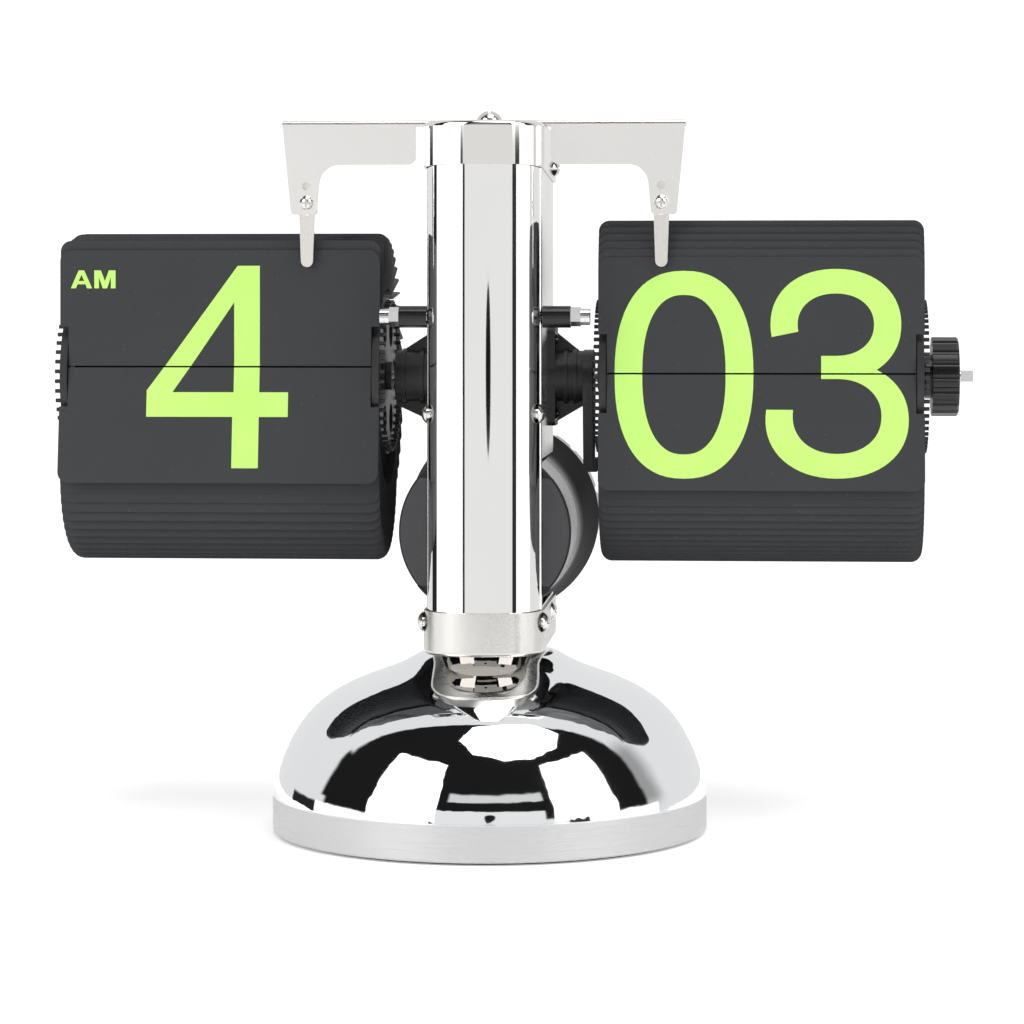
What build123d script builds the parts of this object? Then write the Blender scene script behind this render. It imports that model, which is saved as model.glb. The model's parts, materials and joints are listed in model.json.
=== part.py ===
"""Flip number clock on a chromed stand: two leaf drums on a common axis, left hours, right minutes.

Frame: millimetres, +X to the right of the dial, +Y to the back, +Z up.
Origin: centre of the underside of the round base.
"""
from build123d import *
import math
import os

# ---------------------------------------------------------------- driving dimensions
# Drum axis
axle_y = 13.0
axle_z = 100.5
axle_r = 1.35
running_gap = 0.05

# Leaves and drums, given for the right-hand drum and mirrored for the left-hand one
leaf_inner_x = 24.3
leaf_outer_x = 96.1
notch_depth = 1.9
disc_gap = 0.1
disc_thick = 1.6
disc_r = 17.7
pivot_r = 16.8
pin_r = 0.45
pin_reach = 1.2
leaf_reach = 24.9
leaf_thick = 0.18
leaf_corner = 2.4
notch_reach = 7.85
hidden_edge = 0.4
split_gap = 0.4
hub_r = 6.0
minute_leaves = 60
hour_leaves = 48
minute_first_angle = 6.1
hour_first_angle = 11.7
minute_lean = 22.0
hour_lean = 9.7
minute_held_leaves = 6
hour_held_leaves = 2
minute_flap_tilt = 5.0
hour_flap_tilt = 7.0
bottom_angle = -90.0
stack_top_angle = 92.0

# Base
base_r = 48.2
rim_z = 8.5
rim_bottom_z = 0.5
rim_round = 0.6
shell_thick = 0.8
curve_steps = 16
hump_r = 12.6
hump_z = 40.0
pad_thick = 0.8
pad_r = 46.0
plate_thick = 1.6
ballast_thick = 9.0
ballast_r = 44.0

# Column
front_half = 12.2
frame_half = 12.6
column_front_y = -25.0
seam_y = -15.0
column_back_y = 23.0
column_bottom_z = 42.7
column_top_z = 155.1
front_corner = 9.4
crown_angle = math.radians(15)
wall = 0.8
band_wall = 0.5
band_gap = 0.05
collar_bottom_z = 40.8
collar_top_z = 50.2
cap_bottom_z = 146.9
cap_drop = 2.2
cap_top_z = 156.4

# Neck
neck_half = 9.2
neck_front_y = -21.4
neck_back_y = 17.6
neck_flare = 1.0

# Battery can
can_z = 67.0
can_front_y = -14.0
can_flare_y = 37.0
can_front_r = 18.9
can_flare_r = 22.3
can_bore_r = 17.6
cell_r = 17.1
cell_length = 61.5
door_back_y = 53.5

# Arms and fingers
arm_front_y = -6.4
arm_back_y = 3.6
arm_shift = -1.0
arm_half = 44.7
arm_top_z = 157.4
arm_bottom_z = 147.6
arm_inner = 15.0
sheet = 1.0
leg_bottom_z = 136.6
finger_x = 39.3
finger_tip_z = 125.0
finger_thick = 0.7

# Tie rod
tie_y = -13.0
tie_z = 114.0
tie_sleeve_r = 2.4
tie_rod_r = 1.3
tie_sleeve_end = 18.8
tie_end = 23.0

# Brackets
bracket_right_x = 20.3
bracket_left_x = 22.3
bracket_tube_r = 5.75
bracket_half_height = 11.1
flange_thick = 1.4

# Knob
knob_inner_x = 98.4
knob_outer_x = 104.3
knob_r = 8.85
flute_count = 18
flute_r = 1.0
axle_tip_x = 107.7

# Gear train
gear_module = 0.4
addendum = 0.8
dedendum = 1.1
tooth_share = 0.43
arbor_r = 0.75
minute_pinion_teeth = 16
minute_wheel_teeth = 40
lay_a_wheel_teeth = 32
lay_a_pinion_teeth = 14
lay_b_wheel_teeth = 42
lay_b_pinion_teeth = 10
idler_teeth = 20
hour_wheel_teeth = 40
transfer_teeth = 30
motor_teeth = 10
drive_plane = (7.8, 9.4)
minute_plane = (5.2, 7.0)
lay_plane = (2.0, 3.8)
hour_plane = (-5.0, -3.2)
plate_x = (9.9, 11.1)
shaft_inner_x = 1.0

os.makedirs("parts", exist_ok=True)


# ---------------------------------------------------------------- helpers
def save(name, *solids):
    """Write one node: a single solid, or a group of separate solids."""
    flat = []
    for item in solids:
        flat.extend(item.solids())
    shape = flat[0] if len(flat) == 1 else Compound(children=flat)
    export_step(shape, os.path.join("parts", name + ".step"))


def x_cylinder(radius, x_from, x_to, y=axle_y, z=axle_z):
    """Cylinder along X between two stations."""
    middle = (x_from + x_to) / 2
    length = abs(x_to - x_from)
    return Pos(middle, y, z) * Rot(0, 90, 0) * Cylinder(radius, length)


def y_cylinder(radius, y_from, y_to, x=0.0, z=can_z):
    """Cylinder along Y between two stations."""
    middle = (y_from + y_to) / 2
    length = abs(y_to - y_from)
    return Pos(x, middle, z) * Rot(90, 0, 0) * Cylinder(radius, length)


def z_cylinder(radius, z_from, z_to, x=0.0, y=0.0):
    """Cylinder along Z between two stations."""
    middle = (z_from + z_to) / 2
    return Pos(x, y, middle) * Cylinder(radius, z_to - z_from)


def block(x_from, x_to, y_from, y_to, z_from, z_to):
    """Box given by its six faces."""
    size = (x_to - x_from, y_to - y_from, z_to - z_from)
    centre = ((x_from + x_to) / 2, (y_from + y_to) / 2, (z_from + z_to) / 2)
    return Pos(*centre) * Box(*size)


def mirrored(shape):
    """The same shape on the other side of the column."""
    return mirror(shape, about=Plane.YZ)


def column_outline(half, front_y, back_y, corner):
    """Column section: gently crowned front, rounded front corners, square back."""
    across = half - corner
    crown_r = corner + across / math.sin(crown_angle)
    corner_y = front_y + crown_r - (crown_r - corner) * math.cos(crown_angle)
    edge_x = across + corner * math.sin(crown_angle)
    edge_y = corner_y - corner * math.cos(crown_angle)
    lean = (crown_angle + math.pi / 2) / 2
    lean_x = across + corner * math.sin(lean)
    lean_y = corner_y - corner * math.cos(lean)
    path = Line((-half, back_y), (-half, corner_y))
    path += ThreePointArc((-half, corner_y), (-lean_x, lean_y), (-edge_x, edge_y))
    path += ThreePointArc((-edge_x, edge_y), (0, front_y), (edge_x, edge_y))
    path += ThreePointArc((edge_x, edge_y), (lean_x, lean_y), (half, corner_y))
    path += Line((half, corner_y), (half, back_y))
    path += Line((half, back_y), (-half, back_y))
    return make_face(path)


def box_outline(half, front_y, back_y, corner):
    """Plain rounded rectangle, symmetrical about the column's middle plane."""
    middle = (front_y + back_y) / 2
    return Pos(0, middle) * RectangleRounded(2 * half, back_y - front_y, corner)


def prism(face, z_from, z_to):
    """Extrude a face of the XY plane between two heights."""
    return Pos(0, 0, z_from) * extrude(face, z_to - z_from)


# ---------------------------------------------------------------- base
def bell_curve():
    """Half outline of the bell from the hump to the rim: concave flare, then convex dome."""
    points = [(hump_r, hump_z), (17.4, 38.2), (22.5, 35.9), (31.4, 32.4), (37.8, 28.4), (43.5, 21.6),
              (47.0, 14.2), (base_r, rim_z)]
    return Spline(*points, tangents=((1, 0), (0.1, -1)))


def inner_curve(outer, thickness):
    """The same outline, moved inwards by the sheet's thickness."""
    points = []
    for step in range(curve_steps + 1):
        share = step / curve_steps
        spot = outer @ share
        along = outer % share
        points.append((spot.X + along.Y * thickness, spot.Y - along.X * thickness))
    return Spline(*points)


def base_profile(inset):
    """Half section of the bell, filled to the axis."""
    flare = bell_curve()
    if inset > 0:
        flare = inner_curve(flare, inset)
    top = flare @ 0
    edge = flare @ 1
    path = Line((0, rim_bottom_z), (0, top.Y)) + Line((0, top.Y), (top.X, top.Y)) + flare
    path += Line((edge.X, edge.Y), (edge.X, rim_bottom_z))
    path += Line((edge.X, rim_bottom_z), (0, rim_bottom_z))
    return make_face(Plane.XZ * path)


def base_solid(inset=0.0):
    """The bell as a filled body."""
    return revolve(base_profile(inset), Axis.Z)


def neck_outline(grow):
    """Long rounded section of the neck."""
    half = neck_half + grow
    depth = neck_back_y - neck_front_y + 2 * grow
    middle = (neck_front_y + neck_back_y) / 2
    return Pos(0, middle) * SlotOverall(depth, 2 * half, rotation=90)


neck_waist_z = 38.4
neck_foot_z = 32.0
neck_y = (neck_front_y + neck_back_y) / 2
bolt_r = 2.5
bolt_head_r = 4.2
bolt_head_height = 3.0
bolt_key_r = 2.2
bolt_key_depth = 2.0
bolt_offset = 7.5
bolt_bottom_z = pad_thick + plate_thick + ballast_thick + 1.0
bolt_y = [neck_y - bolt_offset, neck_y + bolt_offset]

bell = base_solid()
neck_top = Pos(0, 0, collar_bottom_z) * neck_outline(neck_flare)
neck_waist = Pos(0, 0, neck_waist_z) * neck_outline(0)
neck_foot = Pos(0, 0, neck_foot_z) * neck_outline(neck_flare)
neck = loft(Sketch() + [neck_foot, neck_waist, neck_top]) - bell
bolts = []
bolt_holes = []
for y in bolt_y:
    head_top_z = column_bottom_z + bolt_head_height
    shank = z_cylinder(bolt_r, bolt_bottom_z, column_bottom_z, 0, y)
    head = z_cylinder(bolt_head_r, column_bottom_z, head_top_z, 0, y)
    socket = Pos(0, y, head_top_z) * extrude(RegularPolygon(bolt_key_r, 6), -bolt_key_depth)
    bolts.append(shank + head - socket)
    bolt_holes.append(z_cylinder(bolt_r, 0, column_bottom_z, 0, y))

bell_shell = fillet(bell.edges().sort_by(Axis.Z)[0], rim_round) - base_solid(shell_thick)
for hole in bolt_holes:
    bell_shell -= hole
    neck -= hole
save("base_shell", bell_shell)
save("neck", neck)
save("neck_bolts", *bolts)

post_length = 30.0
post_width = 12.0
post_top_z = 30.0
ballast_z = pad_thick + plate_thick
ballast = z_cylinder(ballast_r, ballast_z, ballast_z + ballast_thick)
ballast_top_z = ballast_z + ballast_thick
post = prism(SlotOverall(post_length, post_width, rotation=90), ballast_top_z, post_top_z)
ballast = ballast + Pos(0, neck_y, 0) * post
for hole in bolt_holes:
    ballast -= hole

screw_circle_r = 36.0
screw_r = 1.4
screw_head_r = 2.8
screw_head_height = 1.0
screw_grip = 6.0
plate_gap = 0.1
bottom_plate = z_cylinder(base_r - shell_thick - plate_gap, pad_thick, ballast_z)
plate_screws = []
screw_angles = [90, 210, 330]
for angle in screw_angles:
    spot = Rot(0, 0, angle) * Pos(screw_circle_r, 0, 0)
    shank = spot * z_cylinder(screw_r, pad_thick, ballast_z + screw_grip)
    head = spot * z_cylinder(screw_head_r, pad_thick, pad_thick + screw_head_height)
    plate_screws.append(shank + head)
for screw in plate_screws:
    bottom_plate -= screw
    ballast -= screw
save("base_ballast", ballast)
save("base_bottom_plate", bottom_plate)
save("base_plate_screws", *plate_screws)
save("base_pad", z_cylinder(pad_r, 0, pad_thick))


# ---------------------------------------------------------------- column
column_screw_r = 1.2
column_head_r = 2.2
column_head_height = 1.3
collar_screw_z = 47.7
side_screw_z = 93.0
side_screw_y = -17.6
column_screw_depth = 2.6
cap_screw_z = 147.8
cap_screw_y = 18.0
collar_screw_y = (-17.0, 9.0)
top_screw_y = -1.4
top_head_r = 2.9
top_head_height = 2.3
top_screw_length = 5.0
bridge_half_y = 4.0
bridge_thick = 3.0
frame_corner = 0.8
top_gap = 0.6
band_round = 0.9
cap_round = 1.1
cut_size = 80.0


def pan_head(radius, height):
    """Domed screw head standing on the XY plane, with a cross recess."""
    ball_r = (radius ** 2 + height ** 2) / (2 * height)
    dome = Pos(0, 0, height - ball_r) * Sphere(ball_r)
    head = dome & Pos(0, 0, height / 2) * Box(4 * radius, 4 * radius, height)
    slot = Pos(0, 0, height) * Box(1.3 * radius, 0.25 * radius, height)
    return head - slot - Rot(0, 0, 90) * slot


def side_screw(x_face, y, z):
    """Screw driven into a side wall from outside; x_face is the wall's outer face."""
    side = 1 if x_face > 0 else -1
    head = Pos(x_face, y, z) * Rot(0, 90 * side, 0) * pan_head(column_head_r, column_head_height)
    shank = x_cylinder(column_screw_r, x_face, x_face - side * column_screw_depth, y, z)
    return head + shank


collar_half = frame_half + band_gap + band_wall
can_hole = y_cylinder(can_front_r + 1.5, can_front_y - 0.2, column_back_y + 5)
frame_face = box_outline(frame_half, seam_y, column_back_y, frame_corner)
frame_core = box_outline(frame_half - wall, seam_y + wall, column_back_y - wall, frame_corner / 2)
frame = prism(frame_face, column_bottom_z, column_top_z - top_gap)
frame -= prism(frame_core, column_bottom_z, column_top_z)
frame -= can_hole

front_face = column_outline(front_half, column_front_y, seam_y, front_corner)
front_core = column_outline(front_half - wall, column_front_y + wall, seam_y + 1, front_corner - wall)
front = prism(front_face, column_bottom_z, column_top_z - top_gap)
front -= prism(front_core, column_bottom_z - 1, column_top_z)

collar_front = column_front_y - band_gap
collar_back = column_back_y + band_gap
collar_face = column_outline(collar_half, collar_front - band_wall, collar_back + band_wall,
                             front_corner + band_wall)
collar_core = column_outline(collar_half - band_wall, collar_front, collar_back, front_corner)
collar = prism(collar_face, collar_bottom_z, collar_top_z)
collar = fillet(collar.faces().sort_by(Axis.Z)[0].edges(), band_round)
collar -= prism(collar_core, column_bottom_z, collar_top_z + 1)
collar -= can_hole
for hole in bolt_holes:
    collar -= hole

cap = prism(collar_face, cap_bottom_z - cap_drop, cap_top_z)
cap = fillet(cap.faces().sort_by(Axis.Z)[-1].edges(), cap_round)
cap -= prism(collar_core, cap_bottom_z - cap_drop - 1, column_top_z)
slope = math.degrees(math.atan2(cap_drop, column_back_y - column_front_y))
below_cap = Pos(0, 0, -cut_size / 2) * Box(cut_size, 2 * cut_size, cut_size)
cap -= Pos(0, column_front_y, cap_bottom_z) * Rot(-slope, 0, 0) * below_cap

top_screw_hole = z_cylinder(column_screw_r, column_top_z - top_screw_length, arm_top_z + 1, 0, top_screw_y)
cap -= top_screw_hole
top_screw = Pos(0, top_screw_y, arm_top_z) * pan_head(top_head_r, top_head_height)
top_screw += z_cylinder(column_screw_r, column_top_z - top_screw_length, arm_top_z, 0, top_screw_y)
bridge = block(-frame_half + wall, frame_half - wall, top_screw_y - bridge_half_y,
               top_screw_y + bridge_half_y, column_top_z - bridge_thick, column_top_z)
bridge -= top_screw_hole
frame += bridge

panel_screws = []
for side in (-1, 1):
    for y in collar_screw_y:
        panel_screws.append(side_screw(side * collar_half, y, collar_screw_z))
    panel_screws.append(side_screw(side * front_half, side_screw_y, side_screw_z))
    panel_screws.append(side_screw(side * collar_half, cap_screw_y, cap_screw_z))
for screw in panel_screws:
    collar -= screw
    frame -= screw
    front -= screw
    cap -= screw

# ---------------------------------------------------------------- arms, fingers
arm_left = arm_shift - arm_half
arm_right = arm_shift + arm_half
leg_taper = 2.0
leg_foot = 5.6
leg_root = 8.6
tab_corner = 1.8
foot_corner = 0.8
edge_round = 0.9
leg_corner = 4.5
finger_width = 3.4
finger_tip_width = 2.7
finger_plate_width = 4.6
finger_plate_top_z = 145.0
finger_screw_z = 139.2
finger_screw_r = 1.0
finger_slot = 3.0
finger_head_r = 1.6
finger_head_height = 0.9
finger_nut_r = 1.7
finger_nut_height = 0.5
spare_hole_z = 142.9
spare_hole_r = 0.9


def arm_plate(side):
    """Upright plate of one arm: a bar that turns down into a tapered leg."""
    outer = arm_half + side * arm_shift
    inner = arm_inner + side * arm_shift
    outline = Polyline(
        (side * inner, arm_top_z),
        (side * outer, arm_top_z),
        (side * (outer - leg_taper), leg_bottom_z),
        (side * (outer - leg_taper - leg_foot), leg_bottom_z),
        (side * (outer - leg_root), arm_bottom_z),
        (side * inner, arm_bottom_z),
        close=True,
    )
    face = make_face(Plane.XZ * outline)
    plate = extrude(face, sheet, dir=(0, 1, 0))
    plate = Pos(0, arm_front_y, 0) * plate
    upright = plate.edges().filter_by(Axis.Y)
    inner_end = [edge for edge in upright if abs(edge.center().Z - arm_bottom_z) < 0.1]
    far = max(abs(edge.center().X) for edge in inner_end)
    for edge in inner_end:
        radius = leg_corner if abs(edge.center().X) > far - 0.1 else tab_corner
        near = plate.edges().filter_by(Axis.Y).sort_by_distance(edge.center())[0]
        plate = fillet(near, radius)
    low = [edge for edge in plate.edges().filter_by(Axis.Y) if edge.center().Z < leg_bottom_z + 0.1]
    return fillet(low, foot_corner)


def finger(side):
    """Tapered tongue that holds the top leaf of one drum."""
    x = side * finger_x + arm_shift
    y = arm_front_y + sheet
    half = finger_width / 2
    tip = finger_tip_width / 2
    plate = finger_plate_width / 2
    shoulder_z = leg_bottom_z + 0.5
    path = Polyline((x - tip, finger_tip_z + tip), (x - half, leg_bottom_z), (x - plate, shoulder_z),
                    (x - plate, finger_plate_top_z), (x + plate, finger_plate_top_z),
                    (x + plate, shoulder_z), (x + half, leg_bottom_z), (x + tip, finger_tip_z + tip))
    path += ThreePointArc((x + tip, finger_tip_z + tip), (x, finger_tip_z), (x - tip, finger_tip_z + tip))
    body = Pos(0, y, 0) * extrude(make_face(Plane.XZ * path), finger_thick, dir=(0, 1, 0))
    slot_face = SlotCenterToCenter(finger_slot, 2.5 * finger_screw_r, rotation=90)
    screw_slot = Pos(x, y, finger_screw_z) * Rot(90, 0, 0) * slot_face
    return body - extrude(screw_slot, 3 * finger_thick, both=True)


flange = block(arm_left, arm_right, arm_front_y, arm_back_y, arm_top_z - sheet, arm_top_z)
arm_bar = flange + arm_plate(-1) + arm_plate(1)
front_top = []
for edge in arm_bar.edges().filter_by(Axis.X):
    if edge.center().Z > arm_top_z - 0.01 and edge.center().Y < arm_front_y + 0.01:
        front_top.append(edge)
arm_bar = fillet(front_top, edge_round)
arm_bar -= top_screw_hole
finger_screws = []
for side, name in ((-1, "left"), (1, "right")):
    x = side * finger_x + arm_shift
    nut_y = arm_front_y + sheet + finger_thick
    shank = y_cylinder(finger_screw_r, arm_front_y - 0.1, nut_y + finger_nut_height, x, finger_screw_z)
    head = Rot(90, 0, 0) * pan_head(finger_head_r, finger_head_height)
    head = Pos(x, arm_front_y, finger_screw_z) * head
    nut = Rot(90, 0, 0) * extrude(RegularPolygon(finger_nut_r, 6), -finger_nut_height)
    nut = Pos(x, nut_y, finger_screw_z) * nut
    arm_bar -= y_cylinder(finger_screw_r, arm_front_y - 1, arm_front_y + 2, x, finger_screw_z)
    arm_bar -= y_cylinder(spare_hole_r, arm_front_y - 1, arm_front_y + 2, x, spare_hole_z)
    finger_screws.append(head + shank + nut)
    save("finger_" + name, finger(side))
save("arm_bar", arm_bar)
save("finger_screws", *finger_screws)
save("column_front", front)
save("collar", collar)
save("top_cap", cap)
save("cap_screw", top_screw)
save("panel_screws", *panel_screws)


# ---------------------------------------------------------------- battery can
door_thick = 2.0
door_gap = 0.3
front_cap_thick = 1.6
front_cap_flat = 11.8
cell_front_y = can_front_y + front_cap_thick + 2.4
contact_thick = 0.4
flare_start_y = 6.0
flare_start_r = can_front_r + 0.3
flare_middle_y = 22.5
flare_middle_r = can_front_r + 1.05
lip = 1.2
lug_x = 12.2
lug_half_width = 0.5
lug_half_height = 2.9
lug_depth = 0.5
ridge_count = 24
ridge_r = 1.1
door_round = 2.2
spigot_r = can_bore_r - running_gap
spigot_length = 3.0
cell_gap = 0.1
cell_round = 1.0
button_r = 4.7
button_height = 1.6

can_back_y = can_flare_y + lip
cap_back_y = can_front_y + front_cap_thick
window_y = can_front_y + front_cap_thick / 2
can_line = Polyline((can_bore_r, cap_back_y), (can_front_r, cap_back_y), (flare_start_r, flare_start_y))
can_flare = ThreePointArc((flare_start_r, flare_start_y), (flare_middle_r, flare_middle_y),
                          (can_flare_r, can_flare_y))
can_back = Polyline((can_flare_r, can_flare_y), (can_flare_r, can_back_y), (can_bore_r, can_back_y),
                    (can_bore_r, cap_back_y))
can_face = make_face(can_line + can_flare + can_back)
can = Pos(0, 0, can_z) * revolve(can_face, Axis.Y)
save("battery_can", can)

cap_window = block(-can_front_r, can_front_r, can_front_y - 1, window_y,
                   can_z - front_cap_flat, can_z + front_cap_flat)
front_rim = y_cylinder(can_front_r, can_front_y, cap_back_y) - cap_window
front_rim -= y_cylinder(can_front_r - 0.4, can_front_y - 1, window_y)
front_rim -= y_cylinder(can_bore_r - 3, window_y, cap_back_y + 1)
front_cap = y_cylinder(can_front_r - 0.45, can_front_y + 0.02, window_y) & cap_window
for side in (-1, 1):
    front_cap -= block(side * lug_x - lug_half_width, side * lug_x + lug_half_width, can_front_y - 1,
                       can_front_y + lug_depth, can_z - lug_half_height, can_z + lug_half_height)
save("can_front_rim", front_rim)
save("can_front_cap", front_cap)

cell_end_y = cell_front_y + cell_length
cell = y_cylinder(cell_r - cell_gap, cell_front_y, cell_end_y - button_height + cell_gap)
cell = fillet(cell.edges(), cell_round)
cell += y_cylinder(button_r, cell_end_y - button_height, cell_end_y)
save("battery_cell", cell)

door_front_y = can_back_y + door_gap
door_bore = y_cylinder(cell_r + cell_gap, can_flare_y - spigot_length - 1, door_back_y - door_thick)
door = y_cylinder(can_flare_r - 0.4, door_front_y, door_back_y)
door = fillet(door.edges().sort_by(Axis.Y)[-1], door_round)
for index in range(ridge_count):
    angle = math.radians(index * 360 / ridge_count)
    spot_x = (can_flare_r + 0.2) * math.cos(angle)
    spot_z = can_z + (can_flare_r + 0.2) * math.sin(angle)
    door -= y_cylinder(ridge_r, door_front_y + 2.5, door_back_y + 1, spot_x, spot_z)
door += y_cylinder(spigot_r, can_flare_y - spigot_length, door_front_y)
door -= door_bore
save("battery_door", door)

spring_wire = 0.45
spring_turns = 2
spring_r = 6.0
contact_r = 13.0
spring_front_y = cap_back_y + contact_thick
spring_room = cell_front_y - spring_front_y
contact_plate = y_cylinder(contact_r, cap_back_y, spring_front_y)
helix = Helix(spring_room / spring_turns - 0.1, spring_room - 2 * spring_wire, spring_r)
helix = Pos(0, spring_front_y + spring_wire, can_z) * Rot(-90, 0, 0) * helix
spring = sweep(Plane(origin=helix @ 0, z_dir=helix % 0) * Circle(spring_wire), path=helix)
save("battery_contacts", contact_plate, spring)

# ---------------------------------------------------------------- tie rod
nut_r = 2.1
nut_height = 2.2
nut_neck_r = 1.8
tie_blind = 1.0
tie_sleeves = []
tie_nuts = []
for side in (-1, 1):
    sleeve = x_cylinder(tie_sleeve_r, side * (frame_half + 0.1), side * tie_sleeve_end, tie_y, tie_z)
    sleeve -= x_cylinder(tie_rod_r, 0, side * tie_end, tie_y, tie_z)
    tie_sleeves.append(sleeve)
    nut = Pos(side * tie_sleeve_end, tie_y, tie_z) * Rot(0, 90 * side, 0)
    nut = nut * extrude(RegularPolygon(nut_r, 6), nut_height)
    nut += x_cylinder(nut_neck_r, side * tie_sleeve_end, side * tie_end, tie_y, tie_z)
    nut -= x_cylinder(tie_rod_r, 0, side * (tie_end - tie_blind), tie_y, tie_z)
    tie_nuts.append(nut)
tie_rod = x_cylinder(tie_rod_r, tie_blind - tie_end, tie_end - tie_blind, tie_y, tie_z)
frame -= tie_rod
save("tie_rod", tie_rod)
save("tie_rod_sleeves", *tie_sleeves)
save("tie_rod_nuts", *tie_nuts)

# ---------------------------------------------------------------- drum brackets
bush_r = 3.0
bush_length = 4.0
rib_thick = 1.4
ring_grow = 0.5
ring_width = 0.9
flange_half_y = 5.5
flange_round = 1.5
fin_end_up = 4.9
fin_end_down = 6.6
axle_clearance = 0.6
bracket_screw_y = 3.6
bracket_screw_z = 8.4
bracket_screw_r = 0.8
bracket_head_r = 1.5
bracket_head_height = 0.8


def bracket(side, end_x):
    """Moulded support: flange on the column, tube along the axle, tapered fins."""
    flange = block(frame_half, frame_half + flange_thick, axle_y - flange_half_y, axle_y + flange_half_y,
                   axle_z - bracket_half_height, axle_z + bracket_half_height)
    flange = fillet(flange.edges().filter_by(Axis.X), flange_round)
    tube = x_cylinder(bracket_tube_r, frame_half, end_x)
    for ring_x in (frame_half + 3.2, end_x - 2.4):
        tube += x_cylinder(bracket_tube_r + ring_grow, ring_x, ring_x + ring_width)
    outline = Polyline((frame_half, axle_z + bracket_half_height), (end_x, axle_z + fin_end_up),
                       (end_x, axle_z - fin_end_down), (frame_half, axle_z - bracket_half_height),
                       close=True)
    fin = extrude(make_face(Plane.XZ * outline), rib_thick, dir=(0, 1, 0))
    fin = Pos(0, axle_y - rib_thick / 2, 0) * fin
    body = flange + tube + fin
    body -= x_cylinder(bush_r, end_x - bush_length, end_x + 1)
    body -= x_cylinder(axle_r + axle_clearance, frame_half - 1, end_x)
    return body if side > 0 else mirrored(body)


def bush(side, end_x):
    """Plain bearing pressed into the outer end of a bracket."""
    ring = x_cylinder(bush_r, side * (end_x - bush_length), side * end_x)
    return ring - x_cylinder(axle_r + running_gap, 0, side * (end_x + 1))


bracket_right = bracket(1, bracket_right_x)
bracket_left = bracket(-1, bracket_left_x)
bracket_screws = []
for side in (-1, 1):
    for y in (axle_y - bracket_screw_y, axle_y + bracket_screw_y):
        for z in (axle_z - bracket_screw_z, axle_z + bracket_screw_z):
            face_x = side * (frame_half + flange_thick)
            head = Rot(0, 90 * side, 0) * pan_head(bracket_head_r, bracket_head_height)
            shank = x_cylinder(bracket_screw_r, face_x, side * (frame_half - wall), y, z)
            bracket_screws.append(Pos(face_x, y, z) * head + shank)
for screw in bracket_screws:
    bracket_right -= screw
    bracket_left -= screw
    frame -= screw
frame -= x_cylinder(axle_r + axle_clearance, -frame_half - 1, frame_half + 1)
save("bracket_right", bracket_right)
save("bracket_left", bracket_left)
save("bracket_screws", *bracket_screws)
save("axle_bushes", bush(1, bracket_right_x), bush(-1, bracket_left_x))

cheek_thick = 2.2
cheek_bottom_z = 79.0
cheek_half = 7.5
cheek_waist_half = 6.0
cheek_waist_z = 88.0
cheek_foot_half = 4.5
cheek_shoulder_z = 99.0
foot_thick = 1.6
foot_height = 3.0
cheek_face = Polyline((axle_y - cheek_half, cheek_shoulder_z), (axle_y - cheek_waist_half, cheek_waist_z),
                      (axle_y - cheek_foot_half, cheek_bottom_z), (axle_y + cheek_foot_half, cheek_bottom_z),
                      (axle_y + cheek_waist_half, cheek_waist_z), (axle_y + cheek_half, cheek_shoulder_z))
cheek_face += ThreePointArc((axle_y + cheek_half, cheek_shoulder_z), (axle_y, cheek_shoulder_z + cheek_half),
                            (axle_y - cheek_half, cheek_shoulder_z))
cheek = Pos(bracket_right_x, 0, 0) * extrude(make_face(Plane.YZ * cheek_face), cheek_thick, dir=(1, 0, 0))
cheek_foot = Pos(bracket_right_x + cheek_thick, axle_y, cheek_bottom_z + foot_height / 2)
cheek += cheek_foot * Box(foot_thick, 2 * cheek_foot_half, foot_height)
cheek -= x_cylinder(axle_r + axle_clearance, 0, leaf_inner_x)
save("minute_cheek", cheek)

# ---------------------------------------------------------------- drums
disc_inner_x = leaf_inner_x + disc_gap
disc_outer_x = leaf_outer_x - disc_gap
drum_middle_x = (leaf_inner_x + leaf_outer_x) / 2
collar_r = 3.2
stub_length = 1.0
lighten_r = 11.4
lighten_hole_r = 3.4
lighten_count = 6


def leaf_pins(count, first_angle):
    """Stub pins round both ends of a drum, one pair for each leaf."""
    pins = []
    for index in range(count):
        angle = math.radians(first_angle + index * 360 / count)
        y = axle_y - pivot_r * math.cos(angle)
        z = axle_z + pivot_r * math.sin(angle)
        pins.append(x_cylinder(pin_r, disc_inner_x - pin_reach, disc_inner_x + disc_thick, y, z))
        pins.append(x_cylinder(pin_r, disc_outer_x - disc_thick, disc_outer_x + pin_reach, y, z))
    return pins


def spool_half(x_disc, inward, pins):
    """End disc with its half of the hub, moulded in one piece."""
    disc = x_cylinder(disc_r, x_disc, x_disc + inward * disc_thick)
    hub = x_cylinder(hub_r, x_disc, drum_middle_x)
    stub = x_cylinder(collar_r, x_disc - inward * stub_length, x_disc)
    body = disc + hub + stub
    for index in range(lighten_count):
        angle = math.radians(index * 360 / lighten_count)
        y = axle_y + lighten_r * math.cos(angle)
        z = axle_z + lighten_r * math.sin(angle)
        body -= x_cylinder(lighten_hole_r, x_disc - inward, x_disc + inward * 3, y, z)
    for pin in pins:
        if abs(pin.center().X - x_disc) < 3:
            body -= pin
    return body - x_cylinder(axle_r, x_disc - inward * 5, drum_middle_x + inward)


def visible_edge(count):
    """Reach of a front leaf past its pivot, to the split line between the two halves."""
    return pivot_r * math.sin(math.pi / count) - split_gap / 2


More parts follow.
